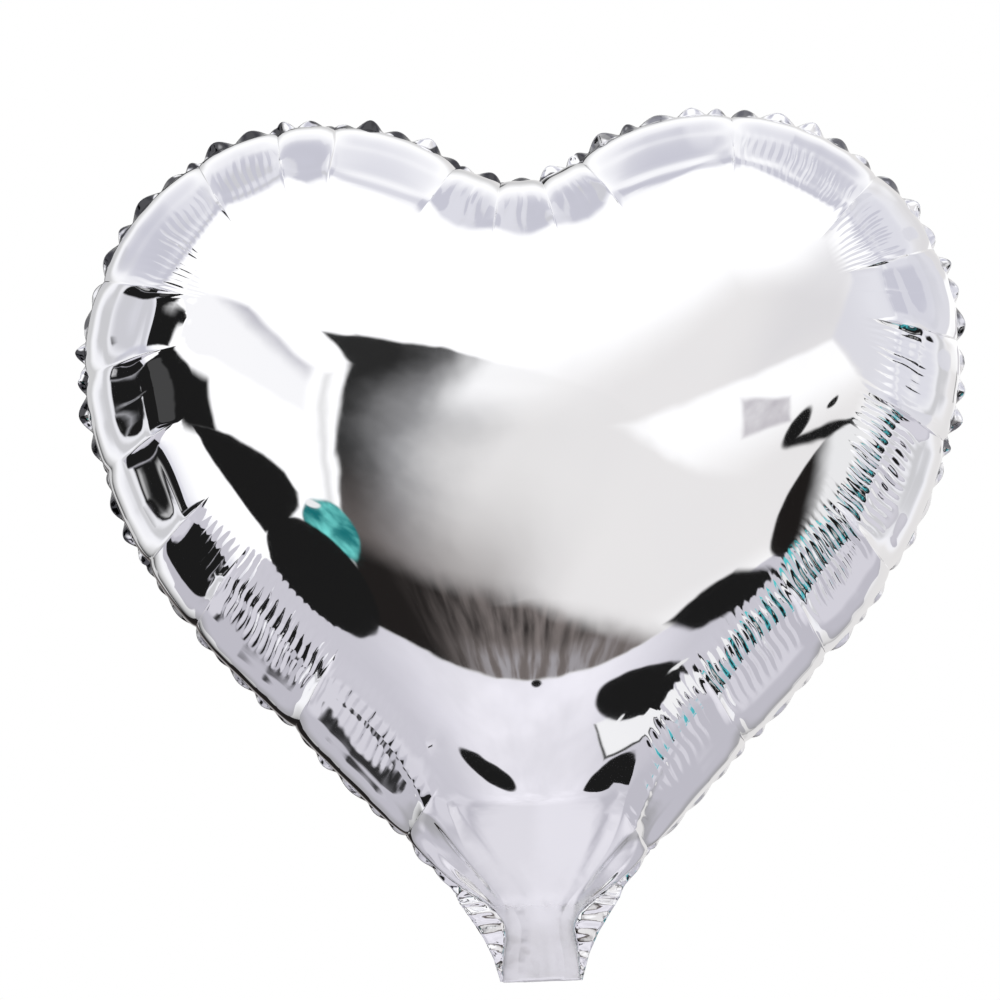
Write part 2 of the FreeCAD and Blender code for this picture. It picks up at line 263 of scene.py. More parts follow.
def scallops(s, seed):
    """Rounded bumps side by side along the cut edge, from 0 to 1, each of its own length and height."""
    draw = np.random.RandomState(seed)
    count = int((run[-1] - run[0]) / SCALLOP_PITCH)
    ends = np.linspace(run[0], run[-1], count) + draw.uniform(-0.25, 0.25, count) * SCALLOP_PITCH
    heights = draw.uniform(0.3, 1, count)
    part = np.interp(s, ends, np.arange(count))
    low = np.minimum(part.astype(int), count - 2)
    return heights[low] * np.sin(math.pi * np.clip(part - low, 0, 1)) ** 1.2


def ruffle(s, pitch, height, seed):
    """A folded edge: straight flanks between folds, each at its own place and of its own height."""
    draw = np.random.RandomState(seed)
    count = int((run[-1] - run[0]) / pitch)
    folds = np.linspace(run[0], run[-1], count) + draw.uniform(-0.42, 0.42, count) * pitch
    side = np.where(np.arange(count) % 2, 1, -1) * draw.uniform(0.3, 1, count)
    return height * np.interp(s, folds, side)


class Band:
    """What each column needs to know about its place round the weld."""

    def __init__(self, s):
        self.s = s
        self.point, self.tangent, self.inward = on_weld(s)
        from_neck = np.minimum(s, LENGTH - s)
        self.from_neck = from_neck
        lean = 0.24 * smooth(-4, 30, from_neck) * (1 - smooth(300, 400, from_neck))
        direction = self.inward + (lean * np.sign(LENGTH / 2 - s))[:, None] * self.tangent
        self.direction = direction / np.linalg.norm(direction, axis=1)[:, None]
        self.lower = 1 - smooth(*LOWER_END, from_neck)
        wide = TOP_REACH + (LOWER_REACH - TOP_REACH) * self.lower
        self.reach = NECK_REACH + (wide - NECK_REACH) * smooth(-4, 95, from_neck)
        self.pleat_start = 0.12 + 0.13 * self.lower
        self.pleat_fade = (0.3 + 0.38 * self.lower, 0.74 + 0.24 * self.lower)
        index = np.clip(np.searchsorted(crease_at, s, side="right") - 1, 0, len(PUFFS) - 1)
        length = np.diff(crease_at)[index]
        part = np.clip((s - crease_at[index]) / length, 0, 1)
        self.from_middle = np.abs(2 * part - 1)  # 0 halfway between two creases, 1 at a crease
        self.pleats, self.fold = puff_pleats[index], puff_folds[index]
        self.to_crease = np.minimum(part, 1 - part) * length
        self.live = smooth(-2, 22, from_neck)
        self.puff = np.clip(length / USUAL_PUFF, 0.35, 1.25) * self.live
        drawn_in = PULL_IN * np.exp(-self.to_crease / PULL_REACH)
        self.weld_shift = self.live * (BULGE * (1 - self.from_middle**4) - drawn_in)
        self.weld_wave = WELD_WAVE * scallops(s, SCALLOP_SEED) * self.live


def puff_height(band, d, pleats):
    """How far the film stands out from the smooth dome, at distance d in from the weld, for each column."""
    end = band.reach * 0.6 + 3 * (1 - band.from_middle**2)
    share = d / end
    rise = 1 - (1 - np.clip(share / 0.3, 0, 1)) ** 2
    past = np.clip((share - 0.35) / 0.65, 0, 1)
    soft = (1 - past**2) ** 2
    firm = 1 - past**2
    fall = soft + 0.45 * band.fold * (firm - soft)
    arch = 1 - band.from_middle**5
    height = PUFF_HEIGHT * band.puff * (0.5 + 0.5 * arch) * rise * fall
    inward_share = d / band.reach
    crease_end = 1 - smooth(0.5, 0.93, inward_share)
    crease = np.exp(-((band.to_crease / CREASE_REACH) ** 0.9))
    height = height - CREASE_DEPTH * band.live * crease * crease_end * (0.35 + 0.65 * rise)
    # fine pleats, which start inside the puff's crest and fade out towards the dome
    wobble = 0.5 * np.sin(d * 0.45 + band.s * 0.11)
    phase = (band.s + wobble) / PLEAT_PITCH + np.interp(band.s, PLEAT_NODES, PLEAT_DRIFT)
    wave = -0.5 * np.cos(2 * math.pi * phase) - 0.1 * np.cos(4 * math.pi * phase)
    inner = smooth(0, 0.2, inward_share - band.pleat_start) * (1 - smooth(*band.pleat_fade, inward_share))
    level = 0.7 + 0.3 * np.sin(phase * 2.1 + 1.3 * np.sin(band.s * 0.09))
    return height + PLEAT_HEIGHT * pleats * band.live * wave * inner * level * smooth(0, 4, band.to_crease)


def tail_wave(x, z):
    """The gentle bend of the flat tail out of its plane, the same for everything in it."""
    below = np.maximum(2 - z, 0)
    return 0.5 * np.sin(x * 0.16 + 0.6) * (1 - smooth(-26, -8, z)) + 0.34 * below**2 / (below + 3)


# folds in the film: two ends (x, z), how far they spread, how far they stand out (or in, when negative)
FOLDS = (
    ((6, -4), (-34, 52), 3.4, 0.9),
    ((0, 4), (-52, 68), 3.0, -0.8),
    ((8, -4), (28, 54), 3.6, 0.9),
    ((13, 6), (44, 68), 3.0, -0.7),
    ((5, -60), (5, 16), 3.5, -0.5),
    ((-9, -60), (-6, 14), 3.0, 0.5),
    ((93, 313), (119, 310), 2.6, -0.5),
    ((116, 311), (137, 296), 2.6, -0.5),
    ((131, 300), (155, 262), 2.6, -0.6),
    ((153, 268), (165, 237), 2.2, -0.9),
    ((166, 242), (158, 208), 2.2, -0.9),
    ((91, 322), (50, 295), 3.0, -0.4),
    ((-105, 322), (-78, 300), 3.0, -0.4),
    ((-139, 264), (-130, 240), 2.8, -0.4),
    ((-60, 62), (-34, 84), 3.2, -0.3),
    ((70, 74), (44, 92), 3.2, -0.3),
)


def fold_height(x, z):
    """How far the folds stand out from the film at a place on it."""
    total = np.zeros_like(x)
    for (x0, z0), (x1, z1), width, height in FOLDS:
        length = math.hypot(x1 - x0, z1 - z0)
        along = ((x - x0) * (x1 - x0) + (z - z0) * (z1 - z0)) / length**2
        aside = np.abs((x - x0) * (z1 - z0) - (z - z0) * (x1 - x0)) / length
        ends = smooth(-0.05, 0.2, along) * (1 - smooth(0.6, 1.05, along))
        total += height * np.exp(-((aside / width) ** 1.3)) * ends
    return total


def dome_surface(x, z, side):
    """Points of the film away from the weld, with its folds standing out along the surface's normal."""
    step = 0.6
    slope_x = (dome.depth(x + step, z) - dome.depth(x - step, z)) / (2 * step)
    slope_z = (dome.depth(x, z + step) - dome.depth(x, z - step)) / (2 * step)
    size = np.sqrt(1 + slope_x**2 + slope_z**2)
    height = fold_height(x, z)
    y = side * (dome.depth(x, z) + height / size) + tail_wave(x, z)
    return np.stack([x - height * slope_x / size, y, z - height * slope_z / size], 1)


def grid_quads(index):
    """Four-sided faces between the rows and columns of a grid of vertex numbers."""
    corners = [index[:-1, :-1], index[:-1, 1:], index[1:, 1:], index[1:, :-1]]
    return np.stack(corners, -1).reshape(-1, 4).tolist()


def film(side, pleat_order):
    """Vertices and faces of one film, front (-1) or back (1): the puffed band, the dome and its side of the
    tail. The order of the pleats' strengths along the weld is 1 as listed, or -1 the other way round."""
    band = Band(columns())
    pleats = band.pleats[::pleat_order]
    shares = (np.arange(BAND_ROWS + 1) / BAND_ROWS) ** ROW_CROWDING
    correction = dome.sag(band.point[:, 0], band.point[:, 1])
    out = -band.inward
    base = []
    for share in shares:
        d = band.reach * share
        swell = OVERHANG * band.live * (1 - band.from_middle**4)
        swell = swell * math.sin(math.pi * min(share / 0.5, 1) ** 0.8)
        moved_out = band.weld_shift * (1 - share) ** 2 + swell
        flat = band.point + band.direction * d[:, None] + out * moved_out[:, None]
        depth = dome.depth(*(band.point + band.direction * d[:, None]).T, correction * (1 - share) ** 2)
        if share == 0:
            depth = depth * 0
        y = side * depth + band.weld_wave * (1 - share) ** 6 + tail_wave(*flat.T)
        base.append(np.stack([flat[:, 0], y, flat[:, 1]], 1))
    base = np.array(base)
    along = np.gradient(base, axis=1)
    across = np.gradient(base, axis=0)
    normal = np.cross(across, along) * -side
    normal /= np.linalg.norm(normal, axis=2)[:, :, None] + 1e-9
    rows = []
    for share, points, normals in zip(shares, base, normal):
        d = band.reach * share
        height = puff_height(band, d, pleats) + fold_height(points[:, 0], points[:, 2])
        rows.append(points + normals * (height * (share > 0))[:, None])
    vertices = np.array(rows).reshape(-1, 3)
    index = np.arange(len(vertices)).reshape(base.shape[:2])
    inner, triangles = fill(base[-1][:, [0, 2]], index[-1], len(vertices))
    vertices = np.concatenate([vertices, dome_surface(inner[:, 0], inner[:, 1], side)])
    faces = grid_quads(index) + triangles
    if side > 0:
        faces = [face[::-1] for face in faces]
    return vertices, faces


def cut_edge(band):
    """Points of the margin's cut edge: round the heart a weld's width outside the weld line, and at the neck
    the straight edge of the web that runs down to the tail's end."""
    side = np.sign(band.point[:, 0])
    plain = band.point - band.inward * (WELD + band.weld_shift)[:, None]
    height = band.point[:, 1] - WEB_DROP * smooth(-6, 30, band.from_neck)
    web = np.stack([side * np.interp(height, *zip(*EDGE_HALF_WIDTH)), height], 1)
    share = smooth(12, 36, band.from_neck)[:, None]
    return web * (1 - share) + plain * share


def margin():
    """The two films' margins welded into one sheet. The puffs fold it back, and it shows as scallops between
    the folds; in the webs beside the tail it lies flat and finely ruffled."""
    band = Band(np.arange(run[0], run[-1], MARGIN_STEP))
    edge = cut_edge(band)
    weld = band.point - band.inward * band.weld_shift[:, None]
    width = np.linalg.norm(edge - weld, axis=1)
    neck = 1 - smooth(10, 40, band.from_neck)
    scalloped = scallops(band.s, SCALLOP_SEED) * (0.5 + 0.5 * smooth(150, 250, band.from_neck))
    stand = 1 - (1 - FLAT_SHARE - 0.88 * scalloped) * smooth(12, 44, band.from_neck)
    folded = np.sqrt(1 - stand**2) * width
    small = ruffle(band.s, 4.4, 1.3, RUFFLE_SEED) * (0.15 + 0.85 * neck)
    finer = ruffle(band.s, 2.6, 0.5, FINE_RUFFLE_SEED) * (0.1 + 0.9 * neck)
    rows = []
    for step in range(MARGIN_ROWS, -1, -1):
        share = step / MARGIN_ROWS
        wave = folded * share + small * math.sin(2.2 * share) + finer * math.sin(4.3 * share)
        flat = weld + (edge - weld) * (stand * share)[:, None]
        y = band.weld_wave * (1 - share) + wave + tail_wave(*flat.T)
        rows.append(np.stack([flat[:, 0], y, flat[:, 1]], 1))
    vertices = np.array(rows).reshape(-1, 3)
    return vertices, grid_quads(np.arange(len(vertices)).reshape(len(rows), -1))


def fill(ring_flat, ring, first):
    """The dome's points, on an even grid inside the ring and numbered from first on, and its triangles."""
    bottom = np.linspace(ring_flat[-1], ring_flat[0], 9)[1:-1]
    outline = np.concatenate([ring_flat, bottom])
    rows = np.arange(TAIL_END + 2, TOP, GRID * math.sqrt(3) / 2)
    grid = []
    for count, z in enumerate(rows):
        x = np.arange(-HALF_WIDTH, HALF_WIDTH, GRID) + (GRID / 2 if count % 2 else 0)
        grid.append(np.stack([x, np.full_like(x, z)], 1))
    grid = np.concatenate(grid)
    grid = grid[inside(grid, outline) & (gap_to(grid, outline) > GRID * 0.55)]
    points = np.concatenate([outline, grid])
    edges = [(k, (k + 1) % len(outline)) for k in range(len(outline))]
    made = delaunay_2d_cdt([Vector(p) for p in points], edges, [], 1, 1e-6)
    made_points, made_faces, origins = made[0], made[2], made[3]
    names, extra = [], []
    for place, origin in zip(made_points, origins):
        source = origin[0] if origin else None
        if source is not None and source < len(ring_flat):
            names.append(int(ring[source]))
        else:
            names.append(first + len(extra))
            extra.append(tuple(place))
    triangles = []
    for face in made_faces:
        a, b, c = (made_points[k] for k in face)
        turn = (b[0] - a[0]) * (c[1] - a[1]) - (b[1] - a[1]) * (c[0] - a[0])
        triangle = [names[k] for k in face]
        triangles.append(triangle if turn > 0 else triangle[::-1])
    return np.array(extra), triangles


def inside(points, outline):
    """Which points lie inside a closed outline, by counting crossings."""
    result = np.zeros(len(points), bool)
    for (x0, z0), (x1, z1) in zip(outline, np.roll(outline, -1, axis=0)):
        crosses = (z0 > points[:, 1]) != (z1 > points[:, 1])
        if z0 != z1:
            result ^= crosses & (points[:, 0] < (x1 - x0) * (points[:, 1] - z0) / (z1 - z0) + x0)
    return result


def gap_to(points, outline):
    """How far each point is from the nearest point of the outline."""
    gap = np.full(len(points), 1e9)
    for place in outline:
        gap = np.minimum(gap, np.hypot(points[:, 0] - place[0], points[:, 1] - place[1]))
    return gap


def make_object(name, vertices, faces, material, thickness=0.0):
    """A smooth-shaded object from vertices in millimetres, given this thickness."""
    mesh = bpy.data.meshes.new(name)
    mesh.from_pydata((np.asarray(vertices) * MM).tolist(), [], faces)
    mesh.validate()
    mesh.shade_smooth()
    mesh.materials.append(material)
    piece = bpy.data.objects.new(name, mesh)
    bpy.context.scene.collection.objects.link(piece)
    if thickness:
        shell = piece.modifiers.new("thickness", "SOLIDIFY")
        shell.thickness = thickness * MM
        shell.offset = -1
    return piece


# ---- shader arithmetic ----


class Field:
    """A number worked out by shader nodes, written like ordinary arithmetic."""

    tree = None

    def __init__(self, socket):
        self.socket = socket

    @classmethod
    def node(cls, kind, inputs, output=0, **settings):
        made = cls.tree.nodes.new("ShaderNode" + kind)
        for name, value in settings.items():
            setattr(made, name, value)
        for place, value in inputs.items():
            if isinstance(value, Field):
                cls.tree.links.new(value.socket, made.inputs[place])
            else:
                made.inputs[place].default_value = value
        return cls(made.outputs[output])

    @staticmethod
    def source(kind, name):
        """A named output of an input node, such as a texture coordinate."""
        return Field(Field.node(kind, {}).socket.node.outputs[name])

    def arithmetic(self, operation, *others):
        return Field.node("Math", dict(enumerate((self, *others))), operation=operation)

    def __add__(self, other):
        return self.arithmetic("ADD", other)

    def __sub__(self, other):
        return self.arithmetic("SUBTRACT", other)

    def __rsub__(self, other):
        return Field.node("Math", {0: other, 1: self}, operation="SUBTRACT")

    def __mul__(self, other):
        return self.arithmetic("MULTIPLY", other)

    __radd__ = __add__
    __rmul__ = __mul__

    def __truediv__(self, other):
        return self.arithmetic("DIVIDE", other)

    def least(self, other):
        return self.arithmetic("MINIMUM", other)

    def greatest(self, other):
        return self.arithmetic("MAXIMUM", other)

    def step(self, low, high):
        """0 below low, 1 above high, smooth between; low may be above high for a falling step."""
        ends = {0: self, 1: low, 2: high, 3: 0.0, 4: 1.0}
        if low > high:
            ends = {0: self, 1: high, 2: low, 3: 1.0, 4: 0.0}
        return Field.node("MapRange", ends, interpolation_type="SMOOTHSTEP")

    def line(self, weights):
        """The dot product of this place (x, z, 1) with three weights."""
        return Field.node("VectorMath", {0: self, 1: weights}, output=1, operation="DOT_PRODUCT")

    def over(self, colour, below):
        """This share of the colour laid over what is below."""
        return Field.node("MixRGB", {0: self, 1: below, 2: colour})

    def noise(self, scale, detail=3.0, stretch=(1, 1, 1)):
        place = Field.node("VectorMath", {0: self, 1: stretch}, operation="MULTIPLY")
        return Field.node("TexNoise", {"Vector": place, "Scale": scale, "Detail": detail})


# ---- materials ----


def material(name, **settings):
    """A new material, its node tree made the one that fields are built in, and its shader."""
    made = bpy.data.materials.new(name)
    made.use_nodes = True
    Field.tree = made.node_tree
    shader = made.node_tree.nodes["Principled BSDF"]
    for place, value in settings.items():
        shader.inputs[place.replace("_", " ")].default_value = value
    return made, shader


def feed(shader, place, field):
    """Link a field to one of the shader's inputs."""
    Field.tree.links.new(field.socket, shader.inputs[place])


def object_place():
    """The object's own coordinates, in millimetres."""
    source = Field.source("TexCoord", "Object")
    return Field.node("VectorMath", {0: source, 1: (1 / MM, 1 / MM, 1 / MM)}, operation="MULTIPLY")


def bumps(shader, height, depth):
    """Bumps of this depth in millimetres where height goes from 0 to 1."""
    made = Field.node("Bump", {"Height": height, "Strength": 1.0, "Distance": depth * MM})
    feed(shader, "Normal", made)


def foil():
    """Metallised film: a mirror with faint stretch marks, and crumpled finely round the neck."""
    made, shader = material("foil", Metallic=1.0)
    place = object_place()
    height = place.line((0, 0, 1))
    crumpled = height.step(46, -12)
    marks = place.noise(0.03, 2.0, (1, 0.4, 1)) * 0.5 + place.noise(0.12, 1.0) * 0.03
    crumple = (place.noise(0.14, 1.0) * 0.35 + place.noise(0.5, 2.0) * 0.05) * crumpled
    feed(shader, "Base Color", place.noise(0.03, 4.0).over((0.93, 0.93, 0.955, 1), (0.955, 0.955, 0.965, 1)))
    feed(shader, "Roughness", place.noise(0.4, 3.0) * 0.03 + crumpled * 0.3 + 0.015)
    bumps(shader, marks * 0.35 + crumple, 0.8)
    return made


def valve_plastic():
    """Clear valve film, faintly milky, with drawn-out streaks along its length."""
    made, shader = material("valve_film", Metallic=0.0, IOR=1.49, Alpha=0.5)
    place = object_place()
    streaks = place.noise(0.25, 4.0, (3.0, 1.0, 0.15))
    feed(shader, "Base Color", streaks.over((0.80, 0.83, 0.86, 1), (0.94, 0.95, 0.96, 1)))
    feed(shader, "Roughness", streaks * 0.25 + 0.12)
    bumps(shader, streaks * 0.7 + place.noise(0.9, 3.0) * 0.3, 0.3)
    return made


def valve_weld():
    """The heat seals of the valve: milky plastic pressed with a fine cross-hatch."""
    made, shader = material("valve_weld", Metallic=0.0, Alpha=0.85)
    place = object_place()
    ribs = place.line((2.6, 0, 2.6)).arithmetic("SINE") * place.line((2.6, 0, -2.6)).arithmetic("SINE")
    ribs = ribs * 0.5 + 0.5
    feed(shader, "Base Color", ribs.over((0.72, 0.74, 0.77, 1), (0.9, 0.91, 0.93, 1)))
    feed(shader, "Roughness", 0.35 + ribs * 0.2)
    bumps(shader, ribs, 0.15)
    return made


def release_ink():
    """The printed release coat: matt blue-grey ink laid in fine dots, worn thin here and there."""
    made, shader = material("release_ink", Metallic=0.0)
    place = object_place()
    dots = place.line((7, 0, 0)).arithmetic("SINE") * place.line((0, 0, 7)).arithmetic("SINE")
    dots = dots.step(-0.2, 0.3)
    worn = place.noise(0.5, 4.0).step(0.35, 0.75)
    inked = worn.over((0.46, 0.5, 0.56, 1), (0.24, 0.29, 0.38, 1))
    feed(shader, "Base Color", (dots * 0.7).over(inked, (0.6, 0.64, 0.7, 1)))
    feed(shader, "Roughness", place.noise(1.2, 3.0) * 0.2 + 0.6)
    bumps(shader, dots, 0.05)
    return made


def weld_foil_with_painted_dark():
    """The welded margin: foil crinkled by the hot die, with a painted dark reflection on the upper left and
    painted shade in spots along the top.
    """
    made, shader = material("weld", Metallic=1.0)
    place = object_place()
    mottle = place.noise(0.09, 3.0)
    gaps = place.noise(0.1, 1.0).step(0.4, 0.46)
    # painted dark reflection: the upper left of the margin is darkened in its colour, standing in for the
    # dark room it mirrors there
    left = (place.line((-1, 0, 0.5)) + mottle * 90.0).step(110, 190) * place.line((0, 0, 1)).step(60, 170)
    # painted shade: dark spots along the top where the crinkled margin would fall into shade
    painted_crease_shade = mottle.step(0.5, 0.58) * place.line((0, 0, 1)).step(110, 190)
    # the painted dark reflection and the painted shade, broken into patches, darken the margin's base colour
    dark = (painted_crease_shade * 0.8).greatest(left * 0.96) * gaps
    feed(shader, "Base Color", dark.over((0.035, 0.035, 0.04, 1), (0.93, 0.93, 0.955, 1)))
    feed(shader, "Roughness", place.noise(0.6, 3.0) * 0.08 + 0.04)
    bumps(shader, place.noise(0.25, 2.0), 0.16)
    return made


# ---- the room the foil mirrors ----


def polygon(place, corners, edge=0.01, wave=0.0):
    """1 inside the convex polygon through the corners (running anticlockwise), 0 outside."""
    inside_by = None
    for (x0, z0), (x1, z1) in zip(corners, corners[1:] + corners[:1]):
        length = math.hypot(x1 - x0, z1 - z0)
        weights = ((z0 - z1) / length, (x1 - x0) / length, (x0 * z1 - x1 * z0) / length)
        side = place.line(weights)
        inside_by = side if inside_by is None else inside_by.least(side)
    return (inside_by + wave).step(-edge / 2, edge / 2)


def ellipse(place, x, z, half_length, half_width, turn, edge=0.1):
    """1 inside the ellipse, 0 outside; the edge is a share of its size."""
    c, s = math.cos(math.radians(turn)), math.sin(math.radians(turn))
    along = place.line((c / half_length, s / half_length, -(c * x + s * z) / half_length))
    aside = place.line((-s / half_width, c / half_width, (s * x - c * z) / half_width))
    return (along * along + aside * aside).step(1 + edge, 1 - edge)


def grey(level, tint=(1.0, 1.0, 1.0)):
    """A grey of this level, or a tinted one."""
    return (level * tint[0], level * tint[1], level * tint[2], 1.0)


LAVENDER = (0.985, 0.965, 1.03)
DEEP_LAVENDER = (0.98, 0.96, 1.06)
COOL = (0.985, 0.985, 1.06)
BROWN = (1.15, 1.0, 0.95)
BLACK = grey(0.012)


def beside(around, rim, angle, half_width, low, high, wave):
    """1 in a patch of the belt round the balloon's sides: this many degrees round from the right, seen from
    the front, and as far back as the rim's low and high say."""
    turn = math.radians(angle)
    near = math.cos(math.radians(half_width))
    level = rim + wave
    facing = around.line((math.cos(turn), math.sin(turn), 0)) + wave * 0.5
    far_enough = level.step(low - 0.01, low + 0.01) * level.step(high + 0.01, high - 0.01)
    return facing.step(near - 0.004, near + 0.004) * far_enough


def room(place, around, rim, shown):
    """The colour of the room at a place (x, z, 1), where a surface facing the camera mirrors (0, 0, 1) and
    one sloping by x and z mirrors (x, z, 1). The rim is 0 in front of the balloon, 1 beside it and 2 behind
    it, and around is the direction in which the rim is reached."""
    x, z = place.line((1, 0, 0)), place.line((0, 1, 0))
    cloud = place.noise(5.0)
    grain = place.noise(22.0, 4.0)
    wave = (cloud - 0.5) * 0.06
    fine_wave = (grain - 0.5) * 0.025

    # ceiling, sides and floor
    level = rim + wave * 0.5
    side_tone = (level - z.step(0.1, 0.6) * 0.2).step(0.66, 0.92) * level.step(1.7, 1.3)
    lamps = level.step(0.9, 1.02) * level.step(1.16, 1.06) + level.step(1.24, 1.34) * level.step(1.5, 1.38)
    lamps = lamps * z.step(0.6, 0.1)
    sides = (lamps * 0.5).over(grey(0.98), grey(0.77, COOL))
    sides = (level.step(1.08, 1.2) * level.step(1.34, 1.24) * x.step(0.3, -0.4) * 0.4).over(grey(0.45), sides)
    angle = around.line((0, 1, 0)).arithmetic("ARCTAN2", around.line((1, 0, 0)))
    stripes = (angle * 8.0 + wave * 6.0).arithmetic("SINE").step(-0.35, 0.35)
    stripes = stripes * level.step(0.78, 0.86) * level.step(1.5, 1.42)
    sides = (stripes * z.step(0.05, 0.3) * 0.85).over(grey(0.6, (0.97, 0.97, 1.1)), sides)
    colour = side_tone.over(sides, grey(1.12))
    floor = (z + fine_wave * 0.2).step(-0.297, -0.306)
    floor_tone = (cloud.step(0.35, 0.65) * 0.6 + grain * 0.4).over(grey(1.0, LAVENDER), grey(0.76, LAVENDER))
    colour = floor.over(floor_tone, colour)
    aside = x.arithmetic("ABSOLUTE") + wave * 2.0
    colour = (floor * aside.step(0.1, 0.42) * 0.8).over(grey(0.56, DEEP_LAVENDER), colour)
    down = around.line((0, -1, 0)) + wave
    far_floor = down.step(0.93, 0.99).over(grey(0.78, LAVENDER), grey(0.55, DEEP_LAVENDER))
    colour = (floor * level.step(0.75, 0.95)).over(far_floor, colour)
    colour = (floor * stripes * 0.4).over(grey(0.92, LAVENDER), colour)
    ring = level.step(1.33, 1.39) * level.step(1.49, 1.43) * z.step(-0.36, -0.24) * 0.45
    colour = ((ring + level.step(1.52, 1.64) * 0.6) * z.step(0.45, 0.2)).over(grey(0.3), colour)

    # pale wall on the right, with a window in it
    above_floor = 1.0 - floor
    corners = [(-0.05, -0.3), (0.5, -0.3), (0.75, 0.1), (0.5, 0.3), (0.2, 0.34), (0.02, 0.14)]
    pale = polygon(place, corners, 0.14)
    colour = (pale * above_floor * 0.9).over(grey(0.82, (1.0, 0.98, 0.97)), colour)
    shade = polygon(place, [(0.25, 0.08), (0.5, 0.15), (0.62, 0.34), (0.48, 0.46), (0.3, 0.3)], 0.16)
    colour = (shade * 0.8).over(grey(0.74, (1.0, 0.985, 1.0)), colour)
    corners = [(0.08, 0.055), (0.2, -0.04), (0.3, -0.09), (0.5, -0.2), (0.7, -0.05), (0.47, 0.145)]
    window = polygon(place, corners, 0.02) * (z + x * -0.2).step(-0.16, -0.02)
    colour = (window * (1.15 - cloud * 0.5)).over(grey(1.1), colour)
    far_side = polygon(place, [(0.47, 0.15), (0.7, -0.04), (0.95, 0.1), (0.85, 0.45), (0.62, 0.42)], 0.03)
    colour = (far_side * 0.8).over(grey(0.74, COOL), colour)

    # grey wall straight ahead, dark in its corner, and the dark strip along its foot
    corners = [(-0.325, -0.35), (0.32, -0.35), (0.34, -0.15), (0.12, 0.08), (-0.02, 0.2), (-0.045, 0.227)]
    wall = polygon(place, corners + [(-0.135, 0.234)], 0.01)
    beam = polygon(place, [(-0.188, 0.229), (-0.147, 0.152), (-0.12, 0.15), (-0.12, 0.233)], 0.008)
    wall = wall.greatest(beam)
    across = x - z * 0.325 + 0.2114
    tone = across + (cloud - 0.5) * 0.1 + (grain - 0.5) * 0.03 - z.step(0.1, 0.2) * 0.05
    wall_tone = tone.step(0.0, 0.13).over(grey(0.4, (0.99, 0.99, 1.01)), grey(0.025))
    wall_tone = tone.step(0.08, 0.19).over(grey(0.82, (1.0, 0.985, 0.975)), wall_tone)
    fade = across.step(0.34, 0.2) * (1.0 - z.step(0.05, 0.14) * across.step(0.09, 0.14) * 0.85)
    from_foot = z + x.greatest(0.0) * 0.58 + wave * 0.4
    skirt = from_foot.step(0.03, -0.16) * (0.45 + 0.55 * x.step(0.1, -0.12))
    foot = from_foot.step(-0.12, -0.175)
    wall_tone = (skirt * 0.7).over(grey(0.16, BROWN), wall_tone)
    streaks = place.noise(8.0, 5.0, (7, 1, 1))
    lighter = streaks.step(0.3, 0.7) * x.step(-0.22, -0.02) * x.step(0.35, 0.0)
    foot_tone = lighter.over(grey(0.2, BROWN), grey(0.014, BROWN))
    foot_tone = (z.step(-0.2, -0.27) * x.step(-0.2, -0.05) * 0.6).over(grey(0.22, BROWN), foot_tone)
    pale_streaks = z.step(-0.23, -0.27) * streaks.step(0.42, 0.6) * x.step(-0.16, -0.05) * x.step(0.24, 0.05)
    foot_tone = (pale_streaks * 0.7).over(grey(0.42, LAVENDER), foot_tone)
    wall_tone = foot.over(foot_tone, wall_tone)
    colour = (wall * above_floor * fade.greatest(foot)).over(wall_tone, colour)
    post = polygon(place, [(-0.272, -0.1), (-0.256, -0.1), (-0.188, 0.14), (-0.2, 0.14)], 0.016)
    colour = (post * 0.45).over(grey(0.45), colour)

    # shelf on the left
    shelf = polygon(place, [(-0.6, 0.2), (-0.25, 0.06), (-0.22, 0.15), (-0.34, 0.285), (-0.6, 0.39)], 0.02)
    shelf_line = z + x * 0.95 + fine_wave
    shelf = shelf * (shelf_line.step(-0.12, -0.03) * 0.8 + 0.2)
    colour = (shelf * shown).over(grey(0.5, (0.98, 0.97, 1.08)), colour)

    # things of other colours standing round about
    dark_beside = 0.0
    for angle_at, half_width, low, high in (
        (161.5, 6.5, 0.67, 1.0),
        (177, 8, 0.5, 1.3),
        (193, 8.5, 0.95, 1.31),
        (211, 9.5, 0.84, 1.38),
        (227, 4, 1.39, 1.47),
        (-23, 13, 0.74, 1.27),
        (-33, 6, 0.84, 1.12),
    ):
        dark_beside = beside(around, rim, angle_at, half_width, low, high, wave * 0.2).greatest(dark_beside)
    right_dark = ellipse(place, 0.6, -0.2, 0.17, 0.14, 0, 0.05)
    right_tone = (x + z * 0.25 + cloud * 0.06).step(0.47, 0.56).over(grey(0.86), grey(0.012, BROWN))
    colour = (right_dark * shown).over(right_tone, colour)
    teal = ellipse(place, -0.287, -0.142, 0.064, 0.042, 45, 0.12)
    teal_tone = grain.step(0.4, 0.7).over((0.2, 0.75, 0.7, 1.0), (0.01, 0.16, 0.17, 1.0))
    colour = (teal * rim.step(1.05, 0.95)).over(teal_tone, colour)
    colour = (ellipse(place, -0.3, -0.105, 0.016, 0.006, 20, 0.5) * shown).over(grey(0.9), colour)
    left_shape = [(-0.61, -0.035), (-0.472, -0.222), (-0.44, -0.212), (-0.385, -0.17), (-0.335, -0.123)]
    left_shape += [(-0.325, -0.094), (-0.34, -0.065), (-0.375, -0.045), (-0.44, -0.032), (-0.54, -0.026)]
    right_shape = [(0.264, -0.287), (0.349, -0.35), (0.376, -0.362), (0.485, -0.391), (0.526, -0.36)]
    right_shape += [(0.468, -0.319), (0.383, -0.27), (0.317, -0.269)]
    right_arm = [(0.38, -0.062), (0.5, -0.082), (0.68, -0.075), (0.68, -0.05), (0.5, -0.05), (0.38, -0.03)]
    dark = polygon(place, left_shape, 0.01, fine_wave * 0.4)
    dark = dark.greatest(polygon(place, right_shape, 0.012)).greatest(polygon(place, right_arm, 0.01))
